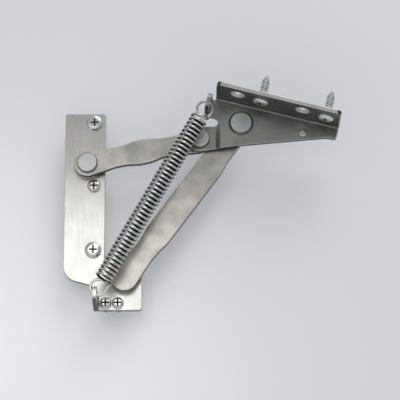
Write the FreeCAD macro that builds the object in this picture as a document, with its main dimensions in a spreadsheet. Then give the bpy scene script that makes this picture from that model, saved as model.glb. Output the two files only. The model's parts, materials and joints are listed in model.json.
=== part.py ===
import FreeCAD, Part
import math
import os

import Sketcher

# Spring-assisted lid stay, shown open. Millimetres, +Z up, the cabinet side is the plane Y = 0.
# The origin is the axis of the top cabinet screw where it meets the cabinet side, and the
# stay stands out from that side towards -Y. A depth is the distance from the cabinet side.

DRIVING_SIZES = {
    # base plate
    "plate_thickness": 2.0,
    "strip_left": 14.1,
    "strip_right": 5.5,
    "strip_top": 4.75,
    "strip_low_corner": 77.7,
    "screw_pitch": 32.0,
    "foot_left": 0.6,
    "foot_right": 23.5,
    "foot_shoulder": 81.75,
    "foot_bottom": 93.6,
    "foot_top": 73.3,
    "strip_corner_round": 1.0,
    "low_corner_round": 7.5,
    "shoulder_round": 3.3,
    "foot_corner_round": 1.5,
    "foot_top_round": 3.0,
    # spring tabs, folded out of the foot and out of the flap bracket
    "tab_reach": 19.8,
    "tab_hole_inset": 3.0,
    "tab_hole_radius": 1.9,
    "tab_round": 3.0,
    "foot_tab_top": 85.9,
    "foot_tab_hole_drop": 89.3,
    # pivots on the cabinet side
    "upper_pivot_left": 3.1,
    "upper_pivot_above_screw": 10.1,
    "lower_pivot_right": 15.2,
    "lower_pivot_drop": 78.7,
    "pivot_ring_radius": 6.5,
    "pivot_ring_thickness": 2.0,
    # flap bracket, in its own frame: x along the flange, z square to it, origin at its right pivot
    "bracket_pivot_right": 70.9,
    "bracket_pivot_drop": 2.65,
    "flange_slope_deg": 14.4,
    "flange_left": 14.8,
    "flange_right": 46.2,
    "flange_height": 9.47,
    "flange_reach": 30.0,
    "flange_corner_round": 3.0,
    "bend_round": 0.7,
    "bracket_thickness": 2.0,
    "web_depth": 8.0,
    "lobe_setback": 1.5,
    "lobe_radius": 6.25,
    "pivot_spacing": 17.45,
    "pivot_fall": 12.07,
    "ramp_middle": 11.5,
    "ramp_width": 2.5,
    "notch_radius": 2.07,
    "notch_left": 13.08,
    "notch_drop": 2.53,
    "bracket_tab_left": 18.3,
    "bracket_tab_hole": 3.88,
    "bracket_tab_top": 8.6,
    "bracket_tab_low": 0.4,
    "web_tip_height": 3.38,
    "web_tip_run": 42.0,
    "web_tip_round": 1.5,
    "web_low_right": 2.55,
    "web_low_drop": 10.75,
    "web_low_round": 12.0,
    # holes and screws of the flange
    "flange_hole_inset": 7.5,
    "flange_hole_radius": 3.5,
    "flange_hole_first": 10.5,
    "flange_screw_first": 22.0,
    "stud_right": 30.0,
    "stud_height": 2.59,
    "stud_radius": 2.1,
    "stud_shank_radius": 1.4,
    "stud_face_radius": 1.155,
    "stud_rise": 0.8,
    # arms
    "arm_thickness": 3.0,
    "arm_blend": 6.0,
    "waist_round": 16.0,
    "upper_near_radius": 6.3,
    "upper_near_depth": 4.1,
    "upper_near_ramp": 8.5,
    "upper_near_waist": 12.5,
    "upper_near_waist_half": 4.85,
    "upper_middle_half": 5.95,
    "upper_middle_depth": 4.6,
    "upper_far_radius": 6.0,
    "upper_far_depth": 3.4,
    "upper_far_ramp": 12.8,
    "upper_far_waist": 12.8,
    "upper_far_waist_half": 4.65,
    "lower_near_radius": 6.4,
    "lower_near_depth": 4.1,
    "lower_near_ramp": 13.7,
    "lower_near_waist": 13.5,
    "lower_near_waist_half": 5.4,
    "lower_middle_half": 6.4,
    "lower_middle_depth": 3.2,
    "lower_far_radius": 6.4,
    "lower_far_depth": 4.9,
    "lower_far_ramp": 8.0,
    "lower_far_waist": 12.5,
    "lower_far_waist_half": 5.35,
    "waist_length": 6.0,
    "ramp_run": 4.2,
    # pivot rivets
    "rivet_shank_radius": 2.5,
    "rivet_flare": 0.8,
    "running_gap": 0.1,
    "seat_gap": 0.05,
    "side_head_radius": 4.9,
    "side_head_rise": 1.7,
    "broad_head_radius": 6.0,
    "head_bevel": 1.0,
    "back_head_radius": 4.2,
    "back_head_rise": 1.3,
    "washer_radius": 5.5,
    "washer_thickness": 0.5,
    # screws
    "pan_head_radius": 3.9,
    "small_head_radius": 3.15,
    "foot_head_radius": 2.8,
    "pan_head_rise": 2.0,
    "head_edge_height": 0.9,
    "screw_radius": 1.8,
    "screw_length": 13.0,
    "screw_point": 3.0,
    "recess_arm": 1.9,
    "recess_width": 0.75,
    "recess_depth": 1.1,
    "foot_screw_left": 6.2,
    "foot_screw_right": 12.0,
    "foot_screw_drop": 90.2,
    "screw_hole_gap": 0.3,
    "neck_gap": 0.1,
    # tension spring
    "spring_mean_radius": 3.8,
    "spring_wire_radius": 0.7,
    "spring_neck": 4.75,
    "hook_seat": 0.35,
}

# counts, which are no lengths
CABINET_STRIP_SCREWS = 3
COIL_TURNS = 42
SEGMENTS_PER_TURN = 12
WIRE_SIDES = 6
HOOK_STEPS = 14
HOOK_SWEEP = 255.0

# a screw head's profile, as shares of its radius and of its domed height
HEAD_FACE_SHARE = 0.55
HEAD_SHOULDER_SHARE = 0.85
HEAD_SHOULDER_DROP = 0.35

# how near counts as the same place or direction
SAME_PLACE = 0.01
SAME_DIRECTION = 0.001

# a direction that no run of the wire takes, from which the wire's flat sides are turned
WIRE_REFERENCE = FreeCAD.Vector(0.2, 0.3, 1.0)

document = FreeCAD.newDocument("LidStay")
sheet = document.addObject("Spreadsheet::Sheet", "Sizes")


class Size:
    """A number together with the sheet formula that gives it."""

    def __init__(self, number, text):
        self.number = float(number)
        self.text = text

    def __add__(self, other):
        other = as_size(other)
        return Size(self.number + other.number, f"({self.text} + {other.text})")

    def __sub__(self, other):
        other = as_size(other)
        return Size(self.number - other.number, f"({self.text} - {other.text})")

    def __mul__(self, other):
        other = as_size(other)
        return Size(self.number * other.number, f"({self.text} * {other.text})")

    def __truediv__(self, other):
        other = as_size(other)
        return Size(self.number / other.number, f"({self.text} / {other.text})")

    def __neg__(self):
        return Size(-self.number, f"(-1 * {self.text})")


def as_size(thing):
    if isinstance(thing, Size):
        return thing
    return Size(thing, str(float(thing)))


def cosine(angle):
    return Size(math.cos(math.radians(angle.number)), f"cos({angle.text})")


def sine(angle):
    return Size(math.sin(math.radians(angle.number)), f"sin({angle.text})")


def hypotenuse(run, rise):
    return Size(
        math.hypot(run.number, rise.number),
        f"sqrt({run.text} * {run.text} + {rise.text} * {rise.text})",
    )


def bearing(rise, run):
    """The angle, in degrees, of a line that goes run along and rise up."""
    return Size(
        math.degrees(math.atan2(rise.number, run.number)),
        f"atan2({rise.text}; {run.text})",
    )


def fill_sheet():
    for row, (name, number) in enumerate(DRIVING_SIZES.items(), start=1):
        sheet.set(f"A{row}", name)
        sheet.set(f"B{row}", str(number))
        sheet.setAlias(f"B{row}", name)
    document.recompute()


def size(name):
    return Size(sheet.get(name), f"{sheet.Name}.{name}")


def bind(thing, property_name, value):
    thing.setExpression(property_name, as_size(value).text)


# Bodies, sketches and features

ZERO = Size(0, "0")


def new_body(label):
    body = document.addObject("PartDesign::Body", label)
    body.Label = label
    return body


def origin_part(body, role):
    for feature in body.Origin.OriginFeatures:
        if feature.Role == role:
            return feature
    raise RuntimeError(f"{body.Label} has no {role}")


def new_sketch(body, name, role, offset=ZERO):
    """A sketch on one of the body's own origin planes, moved along its normal."""
    sketch = body.newObject("Sketcher::SketchObject", f"{body.Label}_{name}")
    sketch.AttachmentSupport = (origin_part(body, role), "")
    sketch.MapMode = "FlatFace"
    sketch.AttachmentOffset = FreeCAD.Placement(FreeCAD.Vector(0, 0, offset.number), FreeCAD.Rotation())
    bind(sketch, ".AttachmentOffset.Base.z", offset)
    return sketch


def flat(x, z):
    return FreeCAD.Vector(x, z, 0)


def bound_constraint(sketch, kind, *values):
    """Add a constraint whose last value is a Size and bind it to the size's formula."""
    value = values[-1]
    index = sketch.addConstraint(Sketcher.Constraint(kind, *values[:-1], value.number))
    bind(sketch, f"Constraints[{index}]", value)


def pin(sketch, geometry, end, x, z):
    """Hold one end (1), the other end (2) or the centre (3) of a curve at a place."""
    bound_constraint(sketch, "DistanceX", -1, 1, geometry, end, x)
    bound_constraint(sketch, "DistanceY", -1, 1, geometry, end, z)


def join(sketch, first, second):
    sketch.addConstraint(Sketcher.Constraint("Coincident", first, 2, second, 1))


def draw_polygon(sketch, corners):
    lines = []
    for here, there in zip(corners, corners[1:] + corners[:1]):
        start = (here[0].number, here[1].number)
        end = (there[0].number, there[1].number)
        lines.append(add_line(sketch, start, end))
    for index, line in enumerate(lines):
        join(sketch, line, lines[(index + 1) % len(lines)])
        pin(sketch, line, 1, *corners[index])


def draw_box(sketch, left, right, low, high):
    draw_polygon(sketch, [(left, low), (right, low), (right, high), (left, high)])


def draw_circle(sketch, x, z, radius):
    circle = Part.Circle(flat(x.number, z.number), FreeCAD.Vector(0, 0, 1), radius.number)
    index = sketch.addGeometry(circle, False)
    pin(sketch, index, 3, x, z)
    bound_constraint(sketch, "Radius", index, radius)


def add_line(sketch, start, end):
    return sketch.addGeometry(Part.LineSegment(flat(*start), flat(*end)), False)


def add_arc(sketch, centre, radius, start_angle, end_angle):
    circle = Part.Circle(flat(*centre), FreeCAD.Vector(0, 0, 1), radius)
    return sketch.addGeometry(Part.ArcOfCircle(circle, start_angle, end_angle), False)


def touch_angle(centre, radius, point, side):
    """Where a line from the point touches the circle: the angle seen from the centre."""
    run = point[0] - centre[0]
    rise = point[1] - centre[1]
    return math.atan2(rise, run) + side * math.acos(radius / math.hypot(run, rise))


def on_circle(centre, radius, angle):
    return (centre[0] + radius * math.cos(angle), centre[1] + radius * math.sin(angle))


def touch(sketch, first, first_end, second, second_end):
    sketch.addConstraint(Sketcher.Constraint("Tangent", first, first_end, second, second_end))


def pad(body, sketch, length, name, midplane=False):
    feature = body.newObject("PartDesign::Pad", f"{body.Label}_{name}")
    feature.Profile = sketch
    feature.SideType = "Symmetric" if midplane else "One side"
    feature.Length = length.number
    bind(feature, "Length", length)
    document.recompute()
    return feature


def pocket(body, sketch, length, name, reverse=False, midplane=False):
    before = body.Shape.Volume
    feature = body.newObject("PartDesign::Pocket", f"{body.Label}_{name}")
    feature.Profile = sketch
    feature.Reversed = reverse
    feature.SideType = "Symmetric" if midplane else "One side"
    feature.Length = length.number
    bind(feature, "Length", length)
    document.recompute()
    if not body.Shape.Volume < before:
        raise RuntimeError(f"{feature.Name} cuts nothing")
    return feature


def edges_at(feature, direction, places, first, second):
    """Names of the straight edges along a direction that pass through the given places."""
    names = []
    for number, edge in enumerate(feature.Shape.Edges, start=1):
        if len(edge.Vertexes) != 2:
            continue
        low = edge.Vertexes[0].Point
        high = edge.Vertexes[1].Point
        if not (high - low).isParallel(direction, SAME_DIRECTION):
            continue
        for x, z in places:
            across = abs(low[first] - x.number)
            along = abs(low[second] - z.number)
            if across < SAME_PLACE and along < SAME_PLACE:
                names.append(f"Edge{number}")
    if len(names) < len(places):
        raise RuntimeError(f"{feature.Name} lacks an edge to round")
    return names


def round_edges(body, feature, names, radius, name):
    fillet = body.newObject("PartDesign::Fillet", f"{body.Label}_{name}")
    fillet.Base = (feature, names)
    fillet.Radius = radius.number
    bind(fillet, "Radius", radius)
    document.recompute()
    return fillet


def round_corners(body, feature, places, radius, name):
    """Round the edges that run square to the cabinet side through the given (x, z) places."""
    names = edges_at(feature, FreeCAD.Vector(0, 1, 0), places, 0, 2)
    return round_edges(body, feature, names, radius, name)


def place(thing, x, y, z, angle=ZERO, axis=FreeCAD.Vector(0, -1, 0)):
    thing.Placement = FreeCAD.Placement(
        FreeCAD.Vector(x.number, y.number, z.number), FreeCAD.Rotation(axis, angle.number)
    )
    bind(thing, ".Placement.Base.x", x)
    bind(thing, ".Placement.Base.y", y)
    bind(thing, ".Placement.Base.z", z)
    if angle is not ZERO:
        bind(thing, ".Placement.Rotation.Angle", angle)


def revolved(body, name, corners):
    """Turn a half section about the body's Y axis: corners are (radius, y)."""
    sketch = new_sketch(body, f"{name}_section", "XY_Plane")
    draw_polygon(sketch, corners)
    feature = body.newObject("PartDesign::Revolution", f"{body.Label}_{name}")
    feature.Profile = sketch
    feature.ReferenceAxis = (origin_part(body, "Y_Axis"), "")
    feature.Angle = 360
    document.recompute()
    return feature


fill_sheet()

# Where things are, worked out from the sheet

# further than any cut has to reach
BEYOND = Size(30, "30")
plate_front = size("plate_thickness")
shank_radius = size("rivet_shank_radius")
arm_bore = shank_radius + size("running_gap")
seat_bore = shank_radius + size("seat_gap")

# the upper pivot stands between the top and the middle screw, clear of the middle one
upper_pivot_drop = size("screw_pitch") - size("upper_pivot_above_screw")
upper_pivot = (-size("upper_pivot_left"), -upper_pivot_drop)
lower_pivot = (size("lower_pivot_right"), -size("lower_pivot_drop"))
bracket_pivot = (size("bracket_pivot_right"), -size("bracket_pivot_drop"))
slope = size("flange_slope_deg")
tab_hole_depth = size("tab_reach") - size("tab_hole_inset")
flange_hole_depth = size("flange_reach") - size("flange_hole_inset")


def from_bracket(x, z):
    """A place in the bracket's own frame, as it stands on the open stay."""
    return (
        bracket_pivot[0] + x * cosine(slope) + z * sine(slope),
        bracket_pivot[1] - x * sine(slope) + z * cosine(slope),
    )


lobe_place = (-size("pivot_spacing"), -size("pivot_fall"))
lobe_pivot = from_bracket(*lobe_place)
bracket_tab_middle = -size("bracket_tab_left") + size("bracket_thickness") * 0.5
spring_top_hole = from_bracket(bracket_tab_middle, size("bracket_tab_hole"))
spring_foot_hole = (size("foot_left") + plate_front * 0.5, -size("foot_tab_hole_drop"))

strip_screws = [(ZERO, -(size("screw_pitch") * step)) for step in range(CABINET_STRIP_SCREWS)]
foot_screws = [
    (size("foot_screw_left"), -size("foot_screw_drop")),
    (size("foot_screw_right"), -size("foot_screw_drop")),
]

web_back = size("web_depth")
web_front = web_back + size("bracket_thickness")
lobe_back = web_back - size("lobe_setback")
lobe_front = lobe_back + size("bracket_thickness")
flange_under = size("flange_height")
flange_top = flange_under + size("bracket_thickness")


def screw_hole():
    return size("screw_radius") + size("screw_hole_gap")


# Base plate: a strip for the cabinet screws, a foot, and the spring's tab folded out of it


def make_base_plate():
    body = new_body("base_plate")
    left = -size("strip_left")
    right = size("strip_right")
    top = size("strip_top")
    corners = [
        (left, top),
        (left, -size("strip_low_corner")),
        (size("foot_left"), -size("foot_shoulder")),
        (size("foot_left"), -size("foot_bottom")),
        (size("foot_right"), -size("foot_bottom")),
        (size("foot_right"), -size("foot_top")),
        (right, -size("foot_top")),
        (right, top),
    ]
    outline = new_sketch(body, "outline", "XZ_Plane")
    draw_polygon(outline, corners)
    sheet_metal = pad(body, outline, plate_front, "sheet")
    top_corners = [corners[0], corners[7]]
    rounded = round_corners(body, sheet_metal, top_corners, size("strip_corner_round"), "strip_corners")
    rounded = round_corners(body, rounded, [corners[1]], size("low_corner_round"), "low_corner")
    rounded = round_corners(body, rounded, [corners[2]], size("shoulder_round"), "shoulder")
    rounded = round_corners(body, rounded, [corners[4]], size("foot_corner_round"), "foot_corner")
    inner_corners = [corners[5], corners[6]]
    rounded = round_corners(body, rounded, inner_corners, size("foot_top_round"), "foot_top_corners")

    tab = new_sketch(body, "tab_outline", "XZ_Plane")
    tab_right = size("foot_left") + plate_front
    draw_box(tab, size("foot_left"), tab_right, -size("foot_bottom"), -size("foot_tab_top"))
    folded = pad(body, tab, size("tab_reach"), "tab")
    tip = -size("tab_reach")
    tip_edges = edges_at(
        folded,
        FreeCAD.Vector(1, 0, 0),
        [(tip, -size("foot_bottom")), (tip, -size("foot_tab_top"))],
        1,
        2,
    )
    folded = round_edges(body, folded, tip_edges, size("tab_round"), "tab_tip")
    inside = edges_at(folded, FreeCAD.Vector(0, 0, 1), [(tab_right, -plate_front)], 0, 1)
    folded = round_edges(body, folded, inside, size("bend_round"), "tab_bend")

    tab_hole = new_sketch(body, "tab_hole_outline", "YZ_Plane")
    draw_circle(tab_hole, -tab_hole_depth, spring_foot_hole[1], size("tab_hole_radius"))
    pocket(body, tab_hole, BEYOND * 2, "tab_hole", midplane=True)

    screw_holes = new_sketch(body, "screw_hole_outlines", "XZ_Plane")
    for x, z in strip_screws + foot_screws:
        draw_circle(screw_holes, x, z, screw_hole())
    pocket(body, screw_holes, BEYOND * 2, "screw_holes", midplane=True)

    rivet_holes = new_sketch(body, "rivet_hole_outlines", "XZ_Plane")
    for x, z in (upper_pivot, lower_pivot):
        draw_circle(rivet_holes, x, z, seat_bore)
    bored = pocket(body, rivet_holes, BEYOND * 2, "rivet_holes", midplane=True)
    chamfer_back(body, bored, [upper_pivot, lower_pivot])
    return body


def chamfer_back(body, feature, places):
    """Countersink holes on the face against the cabinet, for the rivets' flared ends."""
    names = []
    for number, edge in enumerate(feature.Shape.Edges, start=1):
        if not isinstance(edge.Curve, Part.Circle):
            continue
        centre = edge.Curve.Center
        for x, z in places:
            offsets = (centre.x - x.number, centre.y, centre.z - z.number)
            if max(abs(offset) for offset in offsets) < SAME_PLACE:
                names.append(f"Edge{number}")
    chamfer = body.newObject("PartDesign::Chamfer", f"{body.Label}_rivet_countersinks")
    chamfer.Base = (feature, names)
    chamfer.Size = size("rivet_flare").number
    bind(chamfer, "Size", size("rivet_flare"))
    document.recompute()
    return chamfer


# Arms: a joggled strip, waisted near both pivots so that the two arms pass each other


def make_arm(label, start, end, kind):
    """kind names the arm's own sizes; the near end turns on the base plate."""
    body = new_body(label)
    run = end[0] - start[0]
    rise = end[1] - start[1]
    length = hypotenuse(run, rise)
    near_radius = size(f"{kind}_near_radius")
    far_radius = size(f"{kind}_far_radius")
    thickness = size("arm_thickness")

    near_back = size(f"{kind}_near_depth")
    middle_back = size(f"{kind}_middle_depth")
    far_back = size(f"{kind}_far_depth")
    near_ramp = size(f"{kind}_near_ramp")
    far_ramp = length - size(f"{kind}_far_ramp")
    steps = [
        (-near_radius, near_back),
        (near_ramp, near_back),
        (near_ramp + size("ramp_run"), middle_back),
        (far_ramp - size("ramp_run"), middle_back),
        (far_ramp, far_back),
        (length + far_radius, far_back),
    ]
    side = new_sketch(body, "side_view", "XY_Plane")
    back_line = [(x, -depth) for x, depth in steps]
    front_line = [(x, -(depth + thickness)) for x, depth in reversed(steps)]
    draw_polygon(side, back_line + front_line)
    half_height = near_radius + far_radius
    pad(body, side, half_height * 2, "strip", midplane=True)

    trim = new_sketch(body, "trim_outline", "XZ_Plane")
    draw_box(trim, -half_height, length + half_height, -(half_height + BEYOND), half_height + BEYOND)
    waist_corners = draw_arm_outline(trim, length, kind)
    trimmed = pocket(body, trim, BEYOND, "trim", reverse=True)
    trimmed = round_corners(body, trimmed, waist_corners, size("waist_round"), "waists")

    bores = new_sketch(body, "bore_outlines", "XZ_Plane")
    draw_circle(bores, length, ZERO, arm_bore)
    if kind == "upper":
        draw_circle(bores, ZERO, ZERO, arm_bore)
    pocket(body, bores, BEYOND, "bores", reverse=True)
    place(body, start[0], ZERO, start[1], bearing(rise, run))
    return body


def draw_arm_outline(sketch, length, kind):
    """Round ends, a waist near each, a straight middle. Returns the corners to be rounded."""
    near_radius = size(f"{kind}_near_radius")
    far_radius = size(f"{kind}_far_radius")
    near_start = size(f"{kind}_near_waist")
    near_half = size(f"{kind}_near_waist_half")
    far_start = length - size(f"{kind}_far_waist")
    far_half = size(f"{kind}_far_waist_half")
    middle_half = size(f"{kind}_middle_half")
    waist = size("waist_length")
    blend = size("arm_blend")
    upper_side = [
        (near_start, near_half),
        (near_start + waist, near_half),
        (near_start + waist + blend, middle_half),
        (far_start - waist - blend, middle_half),
        (far_start - waist, far_half),
        (far_start, far_half),
    ]
    lower_side = [(x, -z) for x, z in upper_side]
    near_point = (near_start.number, near_half.number)
    far_point = (far_start.number, far_half.number)
    far_centre = (length.number, 0.0)
    near_angle = touch_angle((0.0, 0.0), near_radius.number, near_point, 1)
    far_angle = touch_angle(far_centre, far_radius.number, far_point, -1)

    near_touch = on_circle((0.0, 0.0), near_radius.number, near_angle)
    far_touch = on_circle(far_centre, far_radius.number, far_angle)
    top = [(x.number, z.number) for x, z in upper_side]
    bottom = [(x.number, z.number) for x, z in lower_side]
    bottom_run = [(near_touch[0], -near_touch[1])] + bottom + [(far_touch[0], -far_touch[1])]
    top_run = [far_touch] + top[::-1] + [near_touch]
    bottom_lines = [add_line(sketch, *ends) for ends in zip(bottom_run, bottom_run[1:])]
    far_arc = add_arc(sketch, far_centre, far_radius.number, -far_angle, far_angle)
    top_lines = [add_line(sketch, *ends) for ends in zip(top_run, top_run[1:])]
    near_arc = add_arc(sketch, (0.0, 0.0), near_radius.number, near_angle, 2 * math.pi - near_angle)

    for lines, places in ((bottom_lines, lower_side), (top_lines, upper_side[::-1])):
        for line, following, spot in zip(lines, lines[1:], places):
            join(sketch, line, following)
            pin(sketch, line, 2, *spot)
    pin(sketch, far_arc, 3, length, ZERO)
    pin(sketch, near_arc, 3, ZERO, ZERO)
    bound_constraint(sketch, "Radius", far_arc, far_radius)
    bound_constraint(sketch, "Radius", near_arc, near_radius)
    touch(sketch, bottom_lines[-1], 2, far_arc, 1)
    touch(sketch, far_arc, 2, top_lines[0], 1)
    touch(sketch, top_lines[-1], 2, near_arc, 1)
    touch(sketch, near_arc, 2, bottom_lines[0], 1)
    return upper_side[1:5] + lower_side[1:5]


# Flap bracket: a joggled web, a flange for the flap, and the spring's upper tab


def make_flap_bracket():
    body = new_body("flap_bracket")
    thickness = size("bracket_thickness")
    notch_middle = -size("notch_drop")
    far_right = size("flange_right") + BEYOND
    far_low = -(size("pivot_fall") + BEYOND)
    far_left = -(size("pivot_spacing") + BEYOND)

    flat_part = new_sketch(body, "flat_web_outline", "XZ_Plane", web_back)
    draw_box(flat_part, far_left, far_right, notch_middle, flange_top)
    pad(body, flat_part, thickness, "flat_web")

    # the web's lower part steps back to the lobe, along a line that stands upright on the open stay
    joggled = new_sketch(body, "joggled_web_section", "XY_Plane", far_low)
    lean = sine(slope) / cosine(slope)
    at_foot = lean * (-(far_low - notch_middle))
    ramp_start = at_foot + lean * size("notch_drop") - size("ramp_middle") - size("ramp_width") * 0.5
    ramp_end = ramp_start + size("ramp_width")
    steps = [(far_left, lobe_back), (ramp_start, lobe_back), (ramp_end, web_back), (far_right, web_back)]
    back_line = [(x, -depth) for x, depth in steps]
    front_line = [(x, -(depth + thickness)) for x, depth in reversed(steps)]
    draw_polygon(joggled, back_line + front_line)
    leaning = body.newObject("PartDesign::Pad", "flap_bracket_joggled_web")
    leaning.Profile = joggled
    leaning.UseCustomVector = True
    leaning.Direction = FreeCAD.Vector(-lean.number, 0, 1)
    bind(leaning, ".Direction.x", -lean)
    leaning.AlongSketchNormal = True
    leaning.Length = (notch_middle - far_low).number
    bind(leaning, "Length", notch_middle - far_low)
    document.recompute()

    trim = new_sketch(body, "trim_outline", "XZ_Plane")
    draw_box(trim, far_left * 2, far_right * 2, far_low * 2, flange_top + BEYOND)
    corners = draw_web_outline(trim)
    trimmed = pocket(body, trim, BEYOND, "trim", reverse=True)
    trimmed = round_corners(body, trimmed, [corners["tip"]], size("web_tip_round"), "tip_corner")
    low_corners = [corners["tip_run"], corners["low"]]
    trimmed = round_corners(body, trimmed, low_corners, size("web_low_round"), "low_edge")

    flange = new_sketch(body, "flange_outline", "XZ_Plane", web_back)
    draw_box(flange, -size("flange_left"), size("flange_right"), flange_under, flange_top)
    folded = pad(body, flange, size("flange_reach") - web_back, "flange")
    rim = -size("flange_reach")
    ends = [(-size("flange_left"), rim), (size("flange_right"), rim)]
    rim_edges = edges_at(folded, FreeCAD.Vector(0, 0, 1), ends, 0, 1)
    folded = round_edges(body, folded, rim_edges, size("flange_corner_round"), "flange_corners")
    inside = edges_at(folded, FreeCAD.Vector(1, 0, 0), [(-web_front, flange_under)], 1, 2)
    folded = round_edges(body, folded, inside, size("bend_round"), "flange_bend_inside")
    outside = edges_at(folded, FreeCAD.Vector(1, 0, 0), [(-web_back, flange_top)], 1, 2)
    folded = round_edges(body, folded, outside, size("bend_round") + thickness, "flange_bend_outside")

    tab = new_sketch(body, "tab_outline", "XZ_Plane", web_back)
    tab_left = -size("bracket_tab_left")
    tab_right = tab_left + thickness
    draw_box(tab, tab_left, tab_right, size("bracket_tab_low"), size("bracket_tab_top"))
    folded = pad(body, tab, size("tab_reach") - web_back, "tab")
    tip = -size("tab_reach")
    tip_edges = edges_at(
        folded,
        FreeCAD.Vector(1, 0, 0),
        [(tip, size("bracket_tab_low")), (tip, size("bracket_tab_top"))],
        1,
        2,
    )
    folded = round_edges(body, folded, tip_edges, size("tab_round"), "tab_tip")

    tab_hole = new_sketch(body, "tab_hole_outline", "YZ_Plane", tab_left - thickness)
    draw_circle(tab_hole, -tab_hole_depth, size("bracket_tab_hole"), size("tab_hole_radius"))
    pocket(body, tab_hole, thickness * 3, "tab_hole", reverse=True)

    flange_holes = new_sketch(body, "flange_hole_outlines", "XY_Plane", flange_under - thickness)
    for step in range(2):
        along = size("screw_pitch") * step - size("flange_left")
        hole_x = along + size("flange_hole_first")
        screw_x = along + size("flange_screw_first")
        draw_circle(flange_holes, hole_x, -flange_hole_depth, size("flange_hole_radius"))
        draw_circle(flange_holes, screw_x, -flange_hole_depth, screw_hole())
    pocket(body, flange_holes, thickness * 3, "flange_holes", reverse=True)

    web_holes = new_sketch(body, "web_hole_outlines", "XZ_Plane")
    draw_circle(web_holes, ZERO, ZERO, seat_bore)
    draw_circle(web_holes, *lobe_place, seat_bore)
    stud_bore = size("stud_shank_radius") + size("seat_gap")
    draw_circle(web_holes, size("stud_right"), size("stud_height"), stud_bore)
    pocket(body, web_holes, web_front + size("running_gap"), "web_holes", reverse=True)
    place(body, bracket_pivot[0], ZERO, bracket_pivot[1], slope, FreeCAD.Vector(0, 1, 0))
    return body


def draw_web_outline(sketch):
    """The web's edge, with the round lobe and the notch beside the tab. Returns named corners."""
    tab_left = -size("bracket_tab_left")
    tab_top = size("bracket_tab_top")
    notch = (-size("notch_left"), -size("notch_drop"))
    notch_top = notch[1] + size("notch_radius")
    low = (size("web_low_right"), -size("web_low_drop"))
    tip_run = (size("web_tip_run"), size("web_tip_height"))
    tip = (size("flange_right"), size("web_tip_height"))

    lobe_centre = (lobe_place[0].number, lobe_place[1].number)
    notch_centre = (notch[0].number, notch[1].number)
    lobe_r = size("lobe_radius").number
    notch_r = size("notch_radius").number
    low_point = (low[0].number, low[1].number)
    low_angle = touch_angle(lobe_centre, lobe_r, low_point, -1)

    # the edge between the lobe and the notch crosses the line of their centres
    spread = math.hypot(notch_centre[0] - lobe_centre[0], notch_centre[1] - lobe_centre[1])
    towards = math.atan2(notch_centre[1] - lobe_centre[1], notch_centre[0] - lobe_centre[0])
    lobe_angle = towards + math.acos((lobe_r + notch_r) / spread)
    lobe_leave = on_circle(lobe_centre, lobe_r, lobe_angle)
    notch_enter = on_circle(notch_centre, notch_r, lobe_angle + math.pi)

    straight = [
        (notch[0], notch_top),
        (tab_left, notch_top),
        (tab_left, tab_top),
        (-size("flange_left"), tab_top),
        (-size("flange_left"), flange_top),
        (size("flange_right"), flange_top),
        tip,
        tip_run,
        low,
    ]
    points = [(x.number, z.number) for x, z in straight]
    points.append(on_circle(lobe_centre, lobe_r, low_angle))
    lines = [add_line(sketch, *ends) for ends in zip(points, points[1:])]
    lobe_arc = add_arc(sketch, lobe_centre, lobe_r, lobe_angle - 2 * math.pi, low_angle)
    neck = add_line(sketch, lobe_leave, notch_enter)
    notch_arc = add_arc(sketch, notch_centre, notch_r, lobe_angle - math.pi, 0.5 * math.pi)

    bound_constraint(sketch, "DistanceX", -1, 1, lines[0], 1, straight[0][0])
    for line, following, spot in zip(lines, lines[1:], straight[1:]):
        join(sketch, line, following)
        pin(sketch, line, 2, *spot)
    pin(sketch, lobe_arc, 3, *lobe_place)
    bound_constraint(sketch, "Radius", lobe_arc, size("lobe_radius"))
    pin(sketch, notch_arc, 3, *notch)
    bound_constraint(sketch, "Radius", notch_arc, size("notch_radius"))
    touch(sketch, lines[-1], 2, lobe_arc, 2)
    touch(sketch, lobe_arc, 1, neck, 1)
    touch(sketch, neck, 2, notch_arc, 1)
    sketch.addConstraint(Sketcher.Constraint("Coincident", notch_arc, 2, lines[0], 1))
    return {"tip": tip, "tip_run": tip_run, "low": low}


# Rivets, rings and washers at the pivots. In each body -Y is away from the cabinet.


def make_ring(label, centre, back, outer, thickness, bore):
    body = new_body(label)
    section = [(bore, -back), (outer, -back), (outer, -(back + thickness)), (bore, -(back + thickness))]
    revolved(body, "ring", section)
    place(body, centre[0], ZERO, centre[1])
    return body


def make_side_rivet(label, centre, top, head):
    """A rivet through the base plate and its ring, flared into the plate's back."""
    body = new_body(label)
    flare = size("rivet_flare")
    section = [
        (ZERO, ZERO),
        (shank_radius + flare, ZERO),
        (shank_radius, -flare),
        (shank_radius, -top),
    ]
    if head:
        bevel = size("head_bevel") * 0.5
        high = top + size("side_head_rise")
        section.append((size("side_head_radius"), -top))
        section.append((size("side_head_radius"), -(high - bevel)))
        section.append((size("side_head_radius") - bevel, -high))
        section.append((ZERO, -high))
    else:
        section.append((ZERO, -top))
    revolved(body, "rivet", section)
    place(body, centre[0], ZERO, centre[1])
    return body


def make_bracket_rivet(label, centre, front, arm_back, head_radius, bevel):
    """A rivet through the bracket and an arm, with a formed head behind the arm's washer."""
    body = new_body(label)
    high = front + size("side_head_rise")
    seat = arm_back - size("running_gap") - size("washer_thickness")
    low = seat - size("back_head_rise")
    edge = size("back_head_rise") * 0.5
    section = [
        (ZERO, -low),
        (size("back_head_radius") - edge, -low),
        (size("back_head_radius"), -(low + edge)),
        (size("back_head_radius"), -seat),
        (shank_radius, -seat),
        (shank_radius, -front),
        (head_radius, -front),
        (head_radius - bevel, -high),
        (ZERO, -high),
    ]
    revolved(body, "rivet", section)
    place(body, centre[0], ZERO, centre[1])
    return body


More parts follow.
